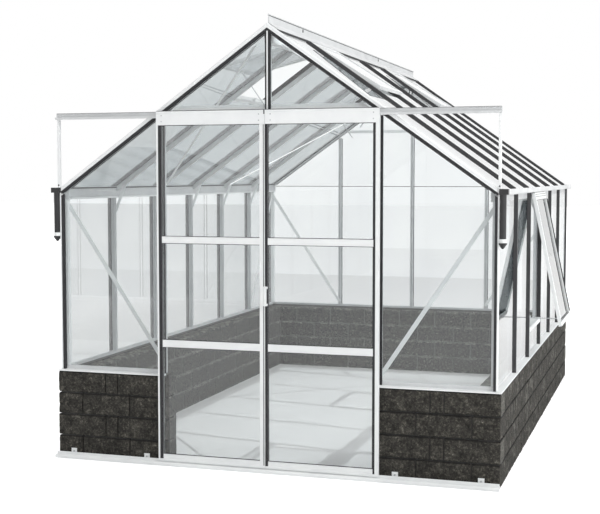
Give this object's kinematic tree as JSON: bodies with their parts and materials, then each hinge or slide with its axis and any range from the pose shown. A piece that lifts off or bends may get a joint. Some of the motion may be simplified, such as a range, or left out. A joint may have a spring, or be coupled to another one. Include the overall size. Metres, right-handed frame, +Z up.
{
  "type": "greenhouse",
  "caption": "Gabled glass greenhouse on a low block wall, with sliding double doors, hinged roof vents, a top-hung side window, gutters and a ridge crest.",
  "frame": {"origin": "on the ground at the middle of the doorway threshold, in the plane of the front gable glass", "axes": "+X to the right seen from the front, +Y from the front gable to the back gable along the ridge, +Z up"},
  "size_m": [2.7719, 3.8507, 2.4996],
  "materials": {
    "black_plastic": "matte",
    "black_seal": "matte",
    "block": "rough tumbled block",
    "glass": "clear",
    "grey_cap": "satin",
    "roller": "matte",
    "steel": "brushed",
    "white_frame": "satin powder coat"
  },
  "bodies": {
    "house": {"block_wall_front": "block", "block_wall_left": "block", "block_wall_right": "block", "block_wall_back": "block", "wall_sills": "white_frame", "corner_posts": "white_frame", "side_bars": "white_frame", "side_bar_caps": "grey_cap", "gutter_eaves": "white_frame", "gable_rakes": "white_frame", "gable_posts": "white_frame", "gable_transoms": "white_frame", "gable_seals": "black_seal", "ridge_beam": "white_frame", "ridge_cap": "white_frame", "roof_bars": "white_frame", "roof_bar_caps": "grey_cap", "wind_braces": "white_frame", "knee_braces": "white_frame", "sill_track": "white_frame", "door_track": "white_frame", "sill_clips": "white_frame", "clip_screws": "steel", "downpipes": "black_plastic", "pipe_collars": "white_frame", "pipe_spouts": "black_plastic", "side_glass": "glass", "gable_glass": "glass", "roof_glass": "glass", "opening_rails": "white_frame", "hinge_rails": "white_frame"},
    "left_door": {"left_door_frame": "white_frame", "left_door_glass": "glass", "left_door_seals": "black_seal", "left_door_handle": "white_frame"},
    "left_roller_outer": {"left_roller_outer": "roller"},
    "left_roller_inner": {"left_roller_inner": "roller"},
    "right_door": {"right_door_frame": "white_frame", "right_door_glass": "glass", "right_door_seals": "black_seal", "right_door_handle": "white_frame"},
    "right_roller_outer": {"right_roller_outer": "roller"},
    "right_roller_inner": {"right_roller_inner": "roller"},
    "side_window": {"window_frame": "white_frame", "window_glass": "glass"},
    "window_stay": {"window_stay": "steel"},
    "vent_left_front": {"vent_left_front_frame": "white_frame", "vent_left_front_glass": "glass"},
    "vent_left_front_stay": {"vent_left_front_stay": "steel"},
    "vent_left_rear": {"vent_left_rear_frame": "white_frame", "vent_left_rear_glass": "glass"},
    "vent_left_rear_stay": {"vent_left_rear_stay": "steel"},
    "vent_right_front": {"vent_right_front_frame": "white_frame", "vent_right_front_glass": "glass"},
    "vent_right_front_stay": {"vent_right_front_stay": "steel"},
    "vent_right_rear": {"vent_right_rear_frame": "white_frame", "vent_right_rear_glass": "glass"},
    "vent_right_rear_stay": {"vent_right_rear_stay": "steel"}
  },
  "joints": [
    {"name": "left_door_slide", "type": "slide", "parent": "house", "child": "left_door", "axis": [-1, 0, 0], "range_m": [0, 0.6]},
    {"name": "left_roller_outer_turn", "type": "hinge", "parent": "left_door", "child": "left_roller_outer", "pos_m": [-0.558, -0.0445, 1.9663], "axis": [0, -1, 0], "range_deg": [-5, 3825]},
    {"name": "left_roller_inner_turn", "type": "hinge", "parent": "left_door", "child": "left_roller_inner", "pos_m": [-0.078, -0.0445, 1.9663], "axis": [0, -1, 0], "range_deg": [-5, 3825]},
    {"name": "right_door_slide", "type": "slide", "parent": "house", "child": "right_door", "axis": [1, 0, 0], "range_m": [0, 0.6]},
    {"name": "right_roller_outer_turn", "type": "hinge", "parent": "right_door", "child": "right_roller_outer", "pos_m": [0.558, -0.0445, 1.9663], "axis": [0, 1, 0], "range_deg": [-5, 3825]},
    {"name": "right_roller_inner_turn", "type": "hinge", "parent": "right_door", "child": "right_roller_inner", "pos_m": [0.078, -0.0445, 1.9663], "axis": [0, 1, 0], "range_deg": [-5, 3825]},
    {"name": "window_hinge", "type": "hinge", "parent": "house", "child": "side_window", "pos_m": [1.285, 1.555, 1.515], "axis": [0, -1, 0], "range_deg": [-12, 0]},
    {"name": "window_stay_pin", "type": "hinge", "parent": "side_window", "child": "window_stay", "pos_m": [1.4358, 1.555, 0.71896], "axis": [0, -1, 0], "range_deg": [-0.5, 12.5]},
    {"name": "vent_left_front_hinge", "type": "hinge", "parent": "house", "child": "vent_left_front", "pos_m": [-0.04554, 0.933, 2.40381], "axis": [0, 1, 0], "range_deg": [-21.6, 8.4]},
    {"name": "vent_left_front_stay_pin", "type": "hinge", "parent": "vent_left_front", "child": "vent_left_front_stay", "pos_m": [-0.49308, 0.933, 2.27631], "axis": [0, 1, 0], "range_deg": [-8.9, 22.1]},
    {"name": "vent_left_rear_hinge", "type": "hinge", "parent": "house", "child": "vent_left_rear", "pos_m": [-0.04554, 2.799, 2.40381], "axis": [0, 1, 0], "range_deg": [-3, 27]},
    {"name": "vent_left_rear_stay_pin", "type": "hinge", "parent": "vent_left_rear", "child": "vent_left_rear_stay", "pos_m": [-0.42903, 2.799, 2.14022], "axis": [0, 1, 0], "range_deg": [-27.5, 3.5]},
    {"name": "vent_right_front_hinge", "type": "hinge", "parent": "house", "child": "vent_right_front", "pos_m": [0.04554, 0.933, 2.40381], "axis": [0, -1, 0], "range_deg": [-3, 27]},
    {"name": "vent_right_front_stay_pin", "type": "hinge", "parent": "vent_right_front", "child": "vent_right_front_stay", "pos_m": [0.42903, 0.933, 2.14022], "axis": [0, -1, 0], "range_deg": [-27.5, 3.5]},
    {"name": "vent_right_rear_hinge", "type": "hinge", "parent": "house", "child": "vent_right_rear", "pos_m": [0.04554, 2.799, 2.40381], "axis": [0, -1, 0], "range_deg": [-3, 27]},
    {"name": "vent_right_rear_stay_pin", "type": "hinge", "parent": "vent_right_rear", "child": "vent_right_rear_stay", "pos_m": [0.42903, 2.799, 2.14022], "axis": [0, -1, 0], "range_deg": [-27.5, 3.5]}
  ],
  "couplings": [
    {"joint": "left_roller_outer_turn", "follows": "left_door_slide", "rad_per_m": 111.11},
    {"joint": "left_roller_inner_turn", "follows": "left_door_slide", "rad_per_m": 111.11},
    {"joint": "right_roller_outer_turn", "follows": "right_door_slide", "rad_per_m": 111.11},
    {"joint": "right_roller_inner_turn", "follows": "right_door_slide", "rad_per_m": 111.11},
    {"joint": "window_stay_pin", "follows": "window_hinge", "ratio": -1},
    {"joint": "vent_left_front_stay_pin", "follows": "vent_left_front_hinge", "ratio": -1},
    {"joint": "vent_left_rear_stay_pin", "follows": "vent_left_rear_hinge", "ratio": -1},
    {"joint": "vent_right_front_stay_pin", "follows": "vent_right_front_hinge", "ratio": -1},
    {"joint": "vent_right_rear_stay_pin", "follows": "vent_right_rear_hinge", "ratio": -1}
  ]
}
